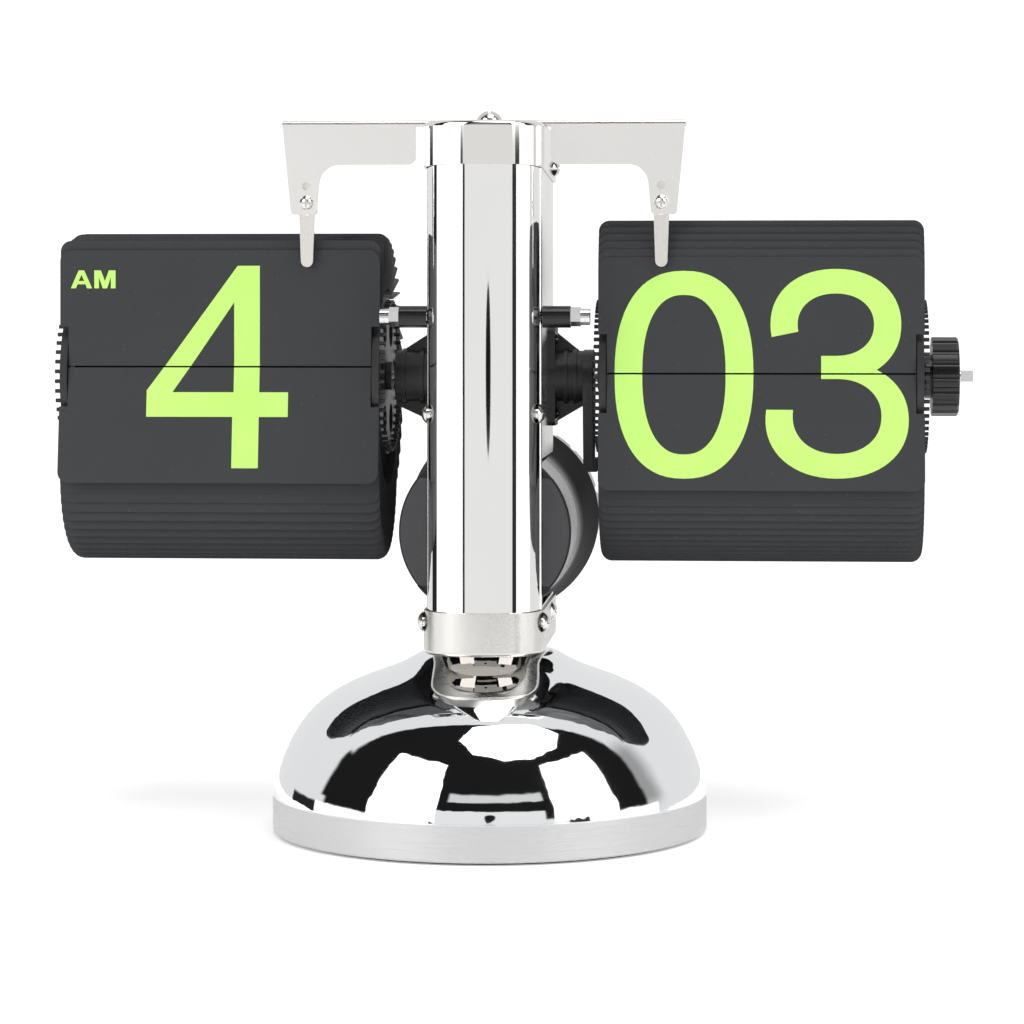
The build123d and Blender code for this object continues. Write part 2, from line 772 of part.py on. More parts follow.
def leaf(count, first_angle, lean, held, index, tilt=0.0, edge=hidden_edge):
    """One leaf at its pivot: hanging below, held upright by the finger, or leaning back in the fan."""
    angle = first_angle + index * 360 / count
    if index < 0:
        turn = 180.0 - tilt
    elif index < held:
        turn = 0.0
    else:
        turn = -min(180.0, angle - lean)
    middle = drum_middle_x
    half = (leaf_outer_x - leaf_inner_x) / 2
    half_narrow = half - notch_depth
    path = Polyline((-half_narrow, -edge), (half_narrow, -edge), (half_narrow, notch_reach),
                    (half, notch_reach), (half, leaf_reach), (-half, leaf_reach), (-half, notch_reach),
                    (-half_narrow, notch_reach), close=True)
    face = make_face(path)
    far = face.vertices().filter_by(lambda v: v.Y > leaf_reach - 0.1)
    face = fillet(far, leaf_corner)
    sheet_body = extrude(Plane.XZ * face, leaf_thick / 2, both=True)
    radians = math.radians(angle)
    y = axle_y - pivot_r * math.cos(radians)
    z = axle_z + pivot_r * math.sin(radians)
    return Pos(middle, y, z) * Rot(turn, 0, 0) * sheet_body


def leaf_groups(count, first_angle, lean, held, flap_tilt):
    """Leaves sorted into the nodes they belong to."""
    pitch = 360 / count
    edge = visible_edge(count)
    groups = {"leaf_upper": [leaf(count, first_angle, lean, held, 0, edge=edge)],
              "leaf_lower": [leaf(count, first_angle, lean, held, -1, flap_tilt, edge)],
              "stack_top": [], "stack_back": [], "stack_bottom": []}
    for index in range(1, count - 1):
        angle = first_angle + index * pitch
        if angle < stack_top_angle:
            groups["stack_top"].append(leaf(count, first_angle, lean, held, index))
        elif angle < 360 + bottom_angle:
            groups["stack_back"].append(leaf(count, first_angle, lean, held, index))
        else:
            groups["stack_bottom"].append(leaf(count, first_angle, lean, held, index - count))
    return groups


minute_pins = leaf_pins(minute_leaves, minute_first_angle)
hour_pins = leaf_pins(hour_leaves, hour_first_angle)
save("minute_spool_inner", spool_half(disc_inner_x, 1, minute_pins))
save("minute_spool_outer", spool_half(disc_outer_x, -1, minute_pins))
save("hour_spool_inner", mirrored(spool_half(disc_inner_x, 1, hour_pins)))
save("hour_spool_outer", mirrored(spool_half(disc_outer_x, -1, hour_pins)))
save("minute_leaf_pins", *minute_pins)
save("hour_leaf_pins", *[mirrored(pin) for pin in hour_pins])

minute_groups = leaf_groups(minute_leaves, minute_first_angle, minute_lean, minute_held_leaves,
                            minute_flap_tilt)
hour_groups = leaf_groups(hour_leaves, hour_first_angle, hour_lean, hour_held_leaves, hour_flap_tilt)
for group, leaves in minute_groups.items():
    save("minute_" + group, *leaves)
for group, leaves in hour_groups.items():
    save("hour_" + group, *[mirrored(item) for item in leaves])

# ---------------------------------------------------------------- axles and knob
axle_flat = 0.5
axle_spare = 1.2
knob_collar_r = 5.0
knob_chamfer = 0.4
flute_offset = 0.45

minute_axle = x_cylinder(axle_r, shaft_inner_x, axle_tip_x)
minute_axle -= block(knob_outer_x + 0.6, axle_tip_x + 1, axle_y - 3, axle_y - axle_r + axle_flat,
                     axle_z - 3, axle_z + 3)
hour_axle = x_cylinder(axle_r, -shaft_inner_x, -disc_outer_x - axle_spare)
save("minute_axle", minute_axle)
save("hour_axle", hour_axle)

knob = x_cylinder(knob_r, knob_inner_x, knob_outer_x)
knob = chamfer(knob.edges().filter_by(GeomType.CIRCLE).sort_by(Axis.X)[-1], knob_chamfer)
for index in range(flute_count):
    angle = math.radians(index * 360 / flute_count)
    y = axle_y + (knob_r + flute_offset) * math.cos(angle)
    z = axle_z + (knob_r + flute_offset) * math.sin(angle)
    knob -= x_cylinder(flute_r, knob_inner_x - 1, knob_outer_x + 1, y, z)
knob += x_cylinder(knob_collar_r, disc_outer_x + stub_length, knob_inner_x)
knob -= x_cylinder(axle_r, disc_outer_x, knob_outer_x + 1)
save("setting_knob", knob)

# ---------------------------------------------------------------- gear train inside the column
tooth_points = 4
pressure = math.radians(20)


def involute_gear(teeth, x_from, x_to, y, z, first_tooth, bore):
    """Spur gear about an X axis; first_tooth is the angle of one tooth, from +Y towards +Z."""
    pitch_r = gear_module * teeth / 2
    base_circle = pitch_r * math.cos(pressure)
    root_r = pitch_r - dedendum * gear_module
    tip_r = pitch_r + addendum * gear_module
    pitch_angle = math.acos(base_circle / pitch_r)
    half_tooth = tooth_share * math.pi / teeth
    start_r = max(base_circle, root_r + 0.01)
    flank = []
    for step in range(tooth_points + 1):
        radius = start_r + (tip_r - start_r) * step / tooth_points
        roll = math.acos(base_circle / radius)
        spread = half_tooth + (math.tan(pitch_angle) - pitch_angle) - (math.tan(roll) - roll)
        flank.append((radius, spread))
    outline = []
    for index in range(teeth):
        centre = first_tooth + index * 2 * math.pi / teeth
        outline.append((root_r, centre - flank[0][1]))
        outline.extend((radius, centre - spread) for radius, spread in flank)
        outline.extend((radius, centre + spread) for radius, spread in reversed(flank))
        outline.append((root_r, centre + flank[0][1]))
    points = [(radius * math.cos(angle), radius * math.sin(angle)) for radius, angle in outline]
    face = make_face(Plane.YZ * Polyline(*points, close=True))
    wheel = Pos(x_from, y, z) * extrude(face, x_to - x_from, dir=(1, 0, 0))
    return wheel - x_cylinder(bore, x_from - 1, x_to + 1, y, z)


def meshing_tooth(teeth, centre, tooth, other_teeth, other_centre):
    """First-tooth angle that puts a space of the second gear on a tooth of the first."""
    direction = math.atan2(other_centre[1] - centre[1], other_centre[0] - centre[0])
    share = (direction - tooth) / (2 * math.pi / teeth)
    return direction + math.pi - (2 * math.pi / other_teeth) * (0.5 - share)


def gear_distance(teeth, other_teeth):
    """Centre distance of two meshing gears."""
    return gear_module * (teeth + other_teeth) / 2


def third_centre(first, first_distance, second, second_distance, side):
    """Point at given distances from two others, to one side of the line that joins them."""
    span_y = second[0] - first[0]
    span_z = second[1] - first[1]
    span = math.hypot(span_y, span_z)
    along = (first_distance ** 2 - second_distance ** 2 + span ** 2) / (2 * span)
    across = side * math.sqrt(first_distance ** 2 - along ** 2)
    y = first[0] + (along * span_y - across * span_z) / span
    z = first[1] + (along * span_z + across * span_y) / span
    return (y, z)


lay_b_angle = math.radians(99.8)
transfer_angle = math.radians(80.0)
motor_angle = math.radians(112.0)
main_centre = (axle_y, axle_z)
lay_a_distance = gear_distance(minute_pinion_teeth, lay_a_wheel_teeth)
lay_a_centre = (axle_y - lay_a_distance, axle_z)
lay_b_distance = gear_distance(lay_a_pinion_teeth, lay_b_wheel_teeth)
lay_b_centre = (lay_a_centre[0] + lay_b_distance * math.cos(lay_b_angle),
                lay_a_centre[1] + lay_b_distance * math.sin(lay_b_angle))
idler_centre = third_centre(main_centre, gear_distance(idler_teeth, hour_wheel_teeth),
                            lay_b_centre, gear_distance(lay_b_pinion_teeth, idler_teeth), -1)
transfer_distance = gear_distance(minute_wheel_teeth, transfer_teeth)
transfer_centre = (axle_y + transfer_distance * math.cos(transfer_angle),
                   axle_z + transfer_distance * math.sin(transfer_angle))
motor_distance = gear_distance(transfer_teeth, motor_teeth)
motor_centre = (transfer_centre[0] + motor_distance * math.cos(motor_angle),
                transfer_centre[1] + motor_distance * math.sin(motor_angle))

bore = arbor_r + running_gap
minute_tooth = 0.0
lay_a_tooth = meshing_tooth(minute_pinion_teeth, main_centre, minute_tooth, lay_a_wheel_teeth,
                            lay_a_centre)
lay_b_tooth = meshing_tooth(lay_a_pinion_teeth, lay_a_centre, lay_a_tooth, lay_b_wheel_teeth, lay_b_centre)
idler_tooth = meshing_tooth(lay_b_pinion_teeth, lay_b_centre, lay_b_tooth, idler_teeth, idler_centre)
hour_tooth = meshing_tooth(idler_teeth, idler_centre, idler_tooth, hour_wheel_teeth, main_centre)
transfer_tooth = meshing_tooth(minute_wheel_teeth, main_centre, minute_tooth, transfer_teeth,
                               transfer_centre)
motor_tooth = meshing_tooth(transfer_teeth, transfer_centre, transfer_tooth, motor_teeth, motor_centre)

minute_gear = involute_gear(minute_wheel_teeth, *drive_plane, *main_centre, minute_tooth, axle_r)
minute_gear += x_cylinder(axle_r + 0.9, minute_plane[0], drive_plane[0])
minute_gear -= x_cylinder(axle_r, minute_plane[0] - 1, drive_plane[1])
minute_gear += involute_gear(minute_pinion_teeth, *minute_plane, *main_centre, minute_tooth, axle_r)
lay_gear_a = involute_gear(lay_a_wheel_teeth, *minute_plane, *lay_a_centre, lay_a_tooth, bore)
lay_gear_a += involute_gear(lay_a_pinion_teeth, lay_plane[0] - 0.2, minute_plane[0], *lay_a_centre,
                            lay_a_tooth, bore)
lay_gear_b = involute_gear(lay_b_wheel_teeth, *lay_plane, *lay_b_centre, lay_b_tooth, bore)
lay_gear_b += involute_gear(lay_b_pinion_teeth, hour_plane[0] - 0.2, lay_plane[0], *lay_b_centre,
                            lay_b_tooth, bore)
idler_gear = involute_gear(idler_teeth, *hour_plane, *idler_centre, idler_tooth, bore)
hour_wheel = involute_gear(hour_wheel_teeth, *hour_plane, *main_centre, hour_tooth, axle_r)
transfer_gear = involute_gear(transfer_teeth, *drive_plane, *transfer_centre, transfer_tooth, bore)
motor_shaft_r = 0.6
motor_shaft_x = 4.0
motor_pinion = involute_gear(motor_teeth, *drive_plane, *motor_centre, motor_tooth, motor_shaft_r)
motor_pinion += x_cylinder(motor_shaft_r, motor_shaft_x, drive_plane[1], *motor_centre)
save("minute_gear", minute_gear)
save("lay_gear_a", lay_gear_a)
save("lay_gear_b", lay_gear_b)
save("idler_gear", idler_gear)
save("hour_wheel", hour_wheel)
save("transfer_gear", transfer_gear)
save("motor_pinion", motor_pinion)

arbors = [
    x_cylinder(arbor_r, -plate_x[0], plate_x[0], *lay_a_centre),
    x_cylinder(arbor_r, -plate_x[0], plate_x[0], *lay_b_centre),
    x_cylinder(arbor_r, -plate_x[0], hour_plane[1] + 0.3, *idler_centre),
    x_cylinder(arbor_r, drive_plane[0] - 0.3, plate_x[0], *transfer_centre),
]
save("gear_arbors", *arbors)

movement_round = 1.5
movement_x = (-9.0, 7.2)
movement_y = (-8.0, 20.0)
movement_z = (121.0, 143.0)
plate_front_y = -11.0
plate_back_y = 21.8
plate_bottom_z = 86.0
plate_top_z = 146.0
plates = []
for side in (-1, 1):
    low, high = sorted((side * plate_x[0], side * plate_x[1]))
    plate = block(low, high, plate_front_y, plate_back_y, plate_bottom_z, plate_top_z)
    plate -= x_cylinder(axle_r + running_gap, -20, 20)
    plates.append(plate)
save("gear_plates", *plates)

movement = block(*movement_x, *movement_y, *movement_z)
movement = fillet(movement.edges().filter_by(Axis.Z), movement_round)
movement -= x_cylinder(motor_shaft_r + running_gap, motor_shaft_x - 0.3, 20, *motor_centre)
save("movement_case", movement)
save("column_frame", frame)
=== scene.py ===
import json
import math

import bmesh
import bpy
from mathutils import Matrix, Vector


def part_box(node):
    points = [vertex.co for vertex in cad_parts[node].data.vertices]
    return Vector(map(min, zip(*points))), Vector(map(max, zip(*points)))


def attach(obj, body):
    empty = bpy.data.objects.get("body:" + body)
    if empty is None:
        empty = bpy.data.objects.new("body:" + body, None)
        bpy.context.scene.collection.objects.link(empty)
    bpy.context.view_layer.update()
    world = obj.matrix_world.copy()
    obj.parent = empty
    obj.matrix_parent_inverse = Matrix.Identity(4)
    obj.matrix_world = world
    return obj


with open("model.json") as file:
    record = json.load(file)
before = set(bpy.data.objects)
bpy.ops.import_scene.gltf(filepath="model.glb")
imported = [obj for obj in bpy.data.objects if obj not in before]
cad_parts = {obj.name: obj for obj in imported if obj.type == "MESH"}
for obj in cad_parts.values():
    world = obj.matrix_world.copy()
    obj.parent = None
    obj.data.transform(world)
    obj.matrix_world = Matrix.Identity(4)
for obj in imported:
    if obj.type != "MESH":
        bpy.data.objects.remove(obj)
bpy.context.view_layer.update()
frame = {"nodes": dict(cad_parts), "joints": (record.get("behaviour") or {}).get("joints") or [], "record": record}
MM = 0.001
scene = bpy.context.scene

# ---------------------------------------------------------------- camera
CAMERA_PLACE = Vector((0.0604, -0.7010, 0.1162))
CAMERA_YAW = 0.065
CAMERA_PITCH = 0.0015
CAMERA_LENS = 111.06
CAMERA_SHIFT = (-0.0432, -0.1959)
CAMERA_SENSOR = 36.0
CAMERA_NEAR = 0.01
CAMERA_FAR = 50.0


def add_camera():
    """Long lens from the right of the middle, level with the drums' upper edge."""
    data = bpy.data.cameras.new("view_camera")
    data.lens = CAMERA_LENS
    data.sensor_width = CAMERA_SENSOR
    data.shift_x, data.shift_y = CAMERA_SHIFT
    data.clip_start = CAMERA_NEAR
    data.clip_end = CAMERA_FAR
    camera = bpy.data.objects.new("view_camera", data)
    camera.location = CAMERA_PLACE
    camera.rotation_euler = (math.pi / 2 - CAMERA_PITCH, 0.0, CAMERA_YAW)
    scene.collection.objects.link(camera)
    scene.camera = camera


# ---------------------------------------------------------------- node helpers
def socket_value(tree, socket, value):
    """Set a socket to a number or colour, or link it to another node's output."""
    if isinstance(value, bpy.types.NodeSocket):
        tree.links.new(value, socket)
    else:
        socket.default_value = value


def calc(tree, operation, first, second=0.0):
    """One Math node."""
    node = tree.nodes.new("ShaderNodeMath")
    node.operation = operation
    socket_value(tree, node.inputs[0], first)
    socket_value(tree, node.inputs[1], second)
    return node.outputs[0]


def step_up(tree, value, low, high, out_low=0.0, out_high=1.0):
    """Smooth rise between two values."""
    node = tree.nodes.new("ShaderNodeMapRange")
    node.interpolation_type = "SMOOTHSTEP"
    socket_value(tree, node.inputs["Value"], value)
    node.inputs["From Min"].default_value = low
    node.inputs["From Max"].default_value = high
    node.inputs["To Min"].default_value = out_low
    node.inputs["To Max"].default_value = out_high
    return node.outputs["Result"]


def blend_value(tree, mask, first, second):
    """Number between two others by a mask."""
    node = tree.nodes.new("ShaderNodeMix")
    node.data_type = "FLOAT"
    socket_value(tree, node.inputs[0], mask)
    socket_value(tree, node.inputs[2], first)
    socket_value(tree, node.inputs[3], second)
    return node.outputs[0]


def blend_colour(tree, mask, first, second):
    """Colour between two others by a mask."""
    node = tree.nodes.new("ShaderNodeMix")
    node.data_type = "RGBA"
    socket_value(tree, node.inputs[0], mask)
    socket_value(tree, node.inputs[6], first)
    socket_value(tree, node.inputs[7], second)
    return node.outputs[2]


def rgba(red, green, blue):
    return (red, green, blue, 1.0)


def object_point(tree, scale=(1.0, 1.0, 1.0)):
    """Place on the piece, in metres, stretched along the three axes."""
    coords = tree.nodes.new("ShaderNodeTexCoord")
    mapping = tree.nodes.new("ShaderNodeMapping")
    mapping.inputs["Scale"].default_value = scale
    tree.links.new(coords.outputs["Object"], mapping.inputs["Vector"])
    return mapping.outputs["Vector"]


def grain(tree, scale, detail=3.0, roughness=0.55, stretch=(1.0, 1.0, 1.0)):
    """Noise over the piece; scale is in cells per metre."""
    node = tree.nodes.new("ShaderNodeTexNoise")
    node.inputs["Scale"].default_value = scale
    node.inputs["Detail"].default_value = detail
    node.inputs["Roughness"].default_value = roughness
    tree.links.new(object_point(tree, stretch), node.inputs["Vector"])
    return node.outputs["Fac"]


def specks(tree, scale, size):
    """Small scattered dots."""
    node = tree.nodes.new("ShaderNodeTexVoronoi")
    node.feature = "F1"
    node.inputs["Scale"].default_value = scale
    node.inputs["Randomness"].default_value = 1.0
    tree.links.new(object_point(tree), node.inputs["Vector"])
    return step_up(tree, node.outputs["Distance"], size, size * 0.5)


def relief(tree, height, distance, strength=1.0, under=None):
    """Bump from a height value; distance is the depth in metres."""
    node = tree.nodes.new("ShaderNodeBump")
    node.inputs["Strength"].default_value = strength
    node.inputs["Distance"].default_value = distance
    tree.links.new(height, node.inputs["Height"])
    if under is not None:
        tree.links.new(under, node.inputs["Normal"])
    return node.outputs["Normal"]


def start_material(name, metallic, specular=0.5):
    material = bpy.data.materials.new(name)
    material.use_nodes = True
    tree = material.node_tree
    shader = tree.nodes["Principled BSDF"]
    shader.inputs["Metallic"].default_value = metallic
    shader.inputs["Specular IOR Level"].default_value = specular
    return material, tree, shader


# ---------------------------------------------------------------- metals
RIM_TOP_Z = 8.5 * MM


def polished_chrome(name="polished_chrome", dark=(0.88, 0.88, 0.87), light=(0.92, 0.92, 0.91)):
    """Mirror plate: faint haze from handling, hairline scratches, gently wavy sheet."""
    material, tree, shader = start_material(name, 1.0)
    cloud = grain(tree, 38.0, 4.0)
    hair = grain(tree, 900.0, 2.0, 0.7, (1.0, 1.0, 0.06))
    tone = blend_colour(tree, cloud, rgba(*dark), rgba(*light))
    haze = step_up(tree, cloud, 0.35, 0.75, 0.025, 0.05)
    socket_value(tree, shader.inputs["Base Color"], tone)
    socket_value(tree, shader.inputs["Roughness"], haze)
    wave = relief(tree, grain(tree, 55.0, 1.0), 0.00005, 0.35)
    socket_value(tree, shader.inputs["Normal"], relief(tree, hair, 0.000002, 0.25, wave))
    return material


def bell_chrome():
    """The bell: mirror dome above a satin band that is brushed round the rim."""
    material, tree, shader = start_material("bell_chrome", 1.0)
    split = tree.nodes.new("ShaderNodeSeparateXYZ")
    tree.links.new(object_point(tree), split.inputs[0])
    band = step_up(tree, split.outputs["Z"], RIM_TOP_Z + 0.0003, RIM_TOP_Z - 0.0003)
    cloud = grain(tree, 30.0, 4.0)
    strokes = grain(tree, 60.0, 4.0, 0.6, (1.0, 1.0, 60.0))
    polish = blend_colour(tree, cloud, rgba(0.86, 0.87, 0.89), rgba(0.91, 0.915, 0.92))
    satin = blend_colour(tree, strokes, rgba(0.50, 0.50, 0.50), rgba(0.60, 0.60, 0.60))
    socket_value(tree, shader.inputs["Base Color"], blend_colour(tree, band, polish, satin))
    haze = step_up(tree, cloud, 0.35, 0.75, 0.02, 0.05)
    brushed = step_up(tree, strokes, 0.3, 0.7, 0.26, 0.38)
    socket_value(tree, shader.inputs["Roughness"], blend_value(tree, band, haze, brushed))
    hair = grain(tree, 700.0, 3.0, 0.7, (1.0, 1.0, 0.1))
    wave = relief(tree, grain(tree, 40.0, 1.0), 0.00004, 0.3)
    fine = relief(tree, hair, 0.000002, 0.25, wave)
    depth = calc(tree, "MULTIPLY", strokes, band)
    socket_value(tree, shader.inputs["Normal"], relief(tree, depth, 0.00001, 0.4, fine))
    return material


def satin_metal(name, dark, light, rough_low, rough_high, stretch=(0.05, 1.0, 1.0)):
    """Satin plate with fine brushing along the piece."""
    material, tree, shader = start_material(name, 1.0)
    strokes = grain(tree, 5200.0, 2.0, 0.6, stretch)
    cloud = grain(tree, 45.0, 4.0)
    mixed = blend_value(tree, 0.25, cloud, strokes)
    socket_value(tree, shader.inputs["Base Color"], blend_colour(tree, mixed, dark, light))
    haze = step_up(tree, mixed, 0.3, 0.7, rough_low, rough_high)
    socket_value(tree, shader.inputs["Roughness"], haze)
    socket_value(tree, shader.inputs["Normal"], relief(tree, strokes, 0.0000015, 0.25))
    return material


def cast_metal():
    """Raw casting, dull and pitted."""
    material, tree, shader = start_material("raw_casting", 0.8)
    pits = grain(tree, 500.0, 5.0)
    socket_value(tree, shader.inputs["Base Color"],
                 blend_colour(tree, pits, rgba(0.10, 0.10, 0.105), rgba(0.22, 0.22, 0.23)))
    socket_value(tree, shader.inputs["Roughness"], step_up(tree, pits, 0.3, 0.7, 0.5, 0.75))
    socket_value(tree, shader.inputs["Normal"], relief(tree, pits, 0.0002, 0.6))
    return material


# ---------------------------------------------------------------- plastics and paint
def leaf_plastic():
    """Matte charcoal sheet with a fine grain and a little dust."""
    material, tree, shader = start_material("leaf_charcoal", 0.0, 0.35)
    fine = grain(tree, 5200.0, 2.0)
    cloud = grain(tree, 35.0, 3.0)
    dust = specks(tree, 420.0, 0.05)
    base = blend_colour(tree, cloud, rgba(0.026, 0.027, 0.030), rgba(0.033, 0.034, 0.038))
    base = blend_colour(tree, calc(tree, "MULTIPLY", dust, 0.35), base, rgba(0.30, 0.30, 0.30))
    socket_value(tree, shader.inputs["Base Color"], base)
    socket_value(tree, shader.inputs["Roughness"], step_up(tree, fine, 0.3, 0.7, 0.50, 0.62))
    socket_value(tree, shader.inputs["Normal"], relief(tree, fine, 0.00002, 0.35))
    return material


def print_ink():
    """Screen-printed lime ink, slightly uneven, with pinholes."""
    material, tree, shader = start_material("lime_print", 0.0, 0.3)
    cloud = grain(tree, 90.0, 4.0)
    holes = specks(tree, 650.0, 0.04)
    base = blend_colour(tree, cloud, rgba(0.46, 0.79, 0.145), rgba(0.54, 0.86, 0.205))
    base = blend_colour(tree, calc(tree, "MULTIPLY", holes, 0.5), base, rgba(0.20, 0.32, 0.08))
    socket_value(tree, shader.inputs["Base Color"], base)
    socket_value(tree, shader.inputs["Roughness"], step_up(tree, cloud, 0.3, 0.7, 0.5, 0.65))
    return material


def moulded(name, dark, light, rough_low, rough_high, depth=0.00002):
    """Moulded plastic with a fine spark-eroded grain."""
    material, tree, shader = start_material(name, 0.0, 0.45)
    fine = grain(tree, 3200.0, 2.0)
    cloud = grain(tree, 60.0, 3.0)
    socket_value(tree, shader.inputs["Base Color"], blend_colour(tree, cloud, dark, light))
    haze = step_up(tree, fine, 0.3, 0.7, rough_low, rough_high)
    socket_value(tree, shader.inputs["Roughness"], haze)
    socket_value(tree, shader.inputs["Normal"], relief(tree, fine, depth, 0.35))
    return material


# Along Y, where the painted fade of the can's reflection starts and where it is fully dark
CAN_SHADE_Y = 0.004
CAN_DARK_Y = 0.021


def can_plastic():
    """Black moulding of the can: glossy near the front, less specular and rougher towards its flared end, a
    painted fade standing in for the reflection that darkens there.
    """
    material, tree, shader = start_material("can_black", 0.0)
    split = tree.nodes.new("ShaderNodeSeparateXYZ")
    tree.links.new(object_point(tree), split.inputs[0])
    # Painted reflection fade: specular level and roughness change along Y to copy where the reflection on the can
    # goes dark
    reflection_fade = step_up(tree, split.outputs["Y"], CAN_SHADE_Y, CAN_DARK_Y)
    cloud = grain(tree, 60.0, 3.0)
    fine = grain(tree, 3200.0, 2.0)
    socket_value(tree, shader.inputs["Base Color"],
                 blend_colour(tree, cloud, rgba(0.007, 0.007, 0.008), rgba(0.013, 0.013, 0.014)))
    socket_value(tree, shader.inputs["Specular IOR Level"], blend_value(tree, reflection_fade, 0.75, 0.02))
    socket_value(tree, shader.inputs["Roughness"], blend_value(tree, reflection_fade, 0.16, 0.5))
    socket_value(tree, shader.inputs["Normal"], relief(tree, fine, 0.000004, 0.35))
    return material


def make_materials():
    """One material for each material slot of the record."""
    along = (0.04, 1.0, 1.0)
    upright = (1.0, 1.0, 0.05)
    even = (1.0, 1.0, 1.0)
    # name, darker and lighter grey or colour, roughness from and to, direction of the brushing
    satin = {
        "satin_nickel": ("satin_nickel", (0.86, 0.85, 0.83), (0.94, 0.93, 0.91), 0.20, 0.28),
        "finger_steel": ("finger_nickel", (0.80, 0.77, 0.73), (0.90, 0.87, 0.83), 0.22, 0.32,
                         upright),
        "bright_steel": ("bright_steel", (0.62, 0.62, 0.63), (0.80, 0.80, 0.80), 0.12, 0.22,
                         along),
        "screw_steel": ("screw_steel", (0.60, 0.59, 0.57), (0.82, 0.81, 0.79), 0.14, 0.26,
                        even),
        "brass": ("plain_brass", (0.60, 0.43, 0.18), (0.80, 0.60, 0.28), 0.2, 0.32),
    }
    # name, darker and lighter colour, roughness from and to, depth of the grain in metres
    plastic = {
        "black_moulding": ("black_moulding", (0.010, 0.010, 0.011), (0.020, 0.020, 0.022), 0.36,
                           0.5),
        "black_gloss": ("black_gloss", (0.006, 0.006, 0.007), (0.012, 0.012, 0.013), 0.14, 0.22,
                        0.000004),
        "grey_cap": ("grey_cap", (0.034, 0.034, 0.037), (0.047, 0.047, 0.051), 0.36, 0.46),
        "gear_plastic": ("gear_acetal", (0.70, 0.68, 0.62), (0.80, 0.78, 0.72), 0.35, 0.45),
        "plate_steel": ("black_paint", (0.02, 0.02, 0.022), (0.032, 0.032, 0.034), 0.4, 0.55),
        "pad_rubber": ("foam_rubber", (0.012, 0.012, 0.012), (0.026, 0.026, 0.026), 0.75, 0.9,
                       0.0001),
        "cell_jacket": ("cell_jacket", (0.02, 0.12, 0.30), (0.03, 0.16, 0.38), 0.22, 0.32,
                        0.000008),
        "case_plastic": ("case_grey", (0.12, 0.12, 0.125), (0.16, 0.16, 0.165), 0.4, 0.55),
    }
    made = {"chromed_shell": polished_chrome(), "leaf_plastic": leaf_plastic(),
            "ballast_iron": cast_metal()}
    for slot, (name, dark, light, *rest) in satin.items():
        made[slot] = satin_metal(name, rgba(*dark), rgba(*light), *rest)
    for slot, (name, dark, light, *rest) in plastic.items():
        made[slot] = moulded(name, rgba(*dark), rgba(*light), *rest)
    return made


def own_finishes():
    """Finishes of single nodes that differ from the rest of their slot."""
    return {
        "base_shell": bell_chrome(),
        "battery_can": can_plastic(),
        # Neck chrome painted darker: painted shade standing in for the dark reflections on the neck
        "neck": polished_chrome("neck_chrome_painted_dark", (0.30, 0.28, 0.26), (0.36, 0.34, 0.31)),
        "top_cap": polished_chrome("cap_chrome", (0.80, 0.78, 0.76), (0.85, 0.83, 0.81)),
        "collar": satin_metal("collar_nickel", rgba(0.60, 0.59, 0.57), rgba(0.70, 0.69, 0.66),
                              0.22, 0.32),
    }


def dress_nodes(materials):
    """Give every CAD node its own finish, or else the material of its slot."""
    finishes = own_finishes()
    for part in frame["record"]["subparts"]:
        piece = frame["nodes"][part["node"]]
        material = finishes.get(part["node"], materials[part["material_slot"]])
        if not piece.data.materials:
            piece.data.materials.append(material)
        for index in range(len(piece.data.materials)):
            piece.data.materials[index] = material


# ---------------------------------------------------------------- printed digits
PRINT_LIFT = 0.02 * MM
PRINT_THICK = 0.02 * MM
LEAF_THICK = 0.18 * MM
MINUTE_TILT = math.radians(5.0)
HOUR_TILT = math.radians(7.0)
OVAL_STEPS = 64
OVAL_POWER = 2.35


def oval_point(centre, half_width, half_height, angle, power=OVAL_POWER):
    """Point of a rounded-square oval; angle runs from +X towards +Z."""
    cosine = math.cos(angle)
    sine = math.sin(angle)
    x = math.copysign(abs(cosine) ** (2 / power), cosine)
    z = math.copysign(abs(sine) ** (2 / power), sine)
    return (centre[0] + half_width * x, centre[1] + half_height * z)


def oval(centre, half_width, half_height, start=0.0, end=2 * math.pi, power=OVAL_POWER):
    """Stretch of an oval as a list of points."""
    steps = max(8, int(abs(end - start) / (2 * math.pi) * OVAL_STEPS))
    angles = [start + (end - start) * index / steps for index in range(steps + 1)]
    return [oval_point(centre, half_width, half_height, angle, power) for angle in angles]


def digit_zero(left, right, bottom, top):
    """Loops of a tall zero."""
    stroke = 6.1
    cap = 5.3
    centre = ((left + right) / 2, (bottom + top) / 2)
    half_width = (right - left) / 2
    half_height = (top - bottom) / 2
    outer = oval(centre, half_width, half_height)[:-1]
    inner = oval(centre, half_width - stroke, half_height - cap)[:-1]
    return [outer, inner]


def digit_three(left, right, bottom, top):
    """Loop of a three: two bowls that meet at a short bar."""
    width = right - left
    height = top - bottom
    stroke = 5.95
    cap = 5.4
    bar_low = bottom + 0.475 * height
    bar_high = bottom + 0.585 * height
    bar_left = left + 0.39 * width
    high = (left + 0.492 * width, (bar_low + top) / 2 - 0.15)
    low = (left + 0.5 * width, (bottom + bar_high) / 2 - 0.6)
    high_width = 0.457 * width
    low_width = 0.5 * width
    high_height = top - high[1]
    low_height = low[1] - bottom
    terminal_high = math.pi + 0.2
    terminal_low = math.pi - 0.15
    waist_high = math.radians(-50)
    waist_low = math.radians(58)
    loop = oval(high, high_width, high_height, terminal_high, waist_high, 2.15)
    loop += oval(low, low_width, low_height, waist_low, terminal_low - 2 * math.pi, 2.15)
    inner_low = (low[0], (bottom + cap + bar_low) / 2)
    inner_high = (high[0], (bar_high + top - cap) / 2)
    loop += oval(inner_low, low_width - stroke, inner_low[1] - bottom - cap,
                 terminal_low - 2 * math.pi, math.pi / 2, 2.15)
    loop += [(bar_left, bar_low), (bar_left, bar_high)]
    loop += oval(inner_high, high_width - stroke, top - cap - inner_high[1],
                 -math.pi / 2, terminal_high, 2.15)
    return [loop]


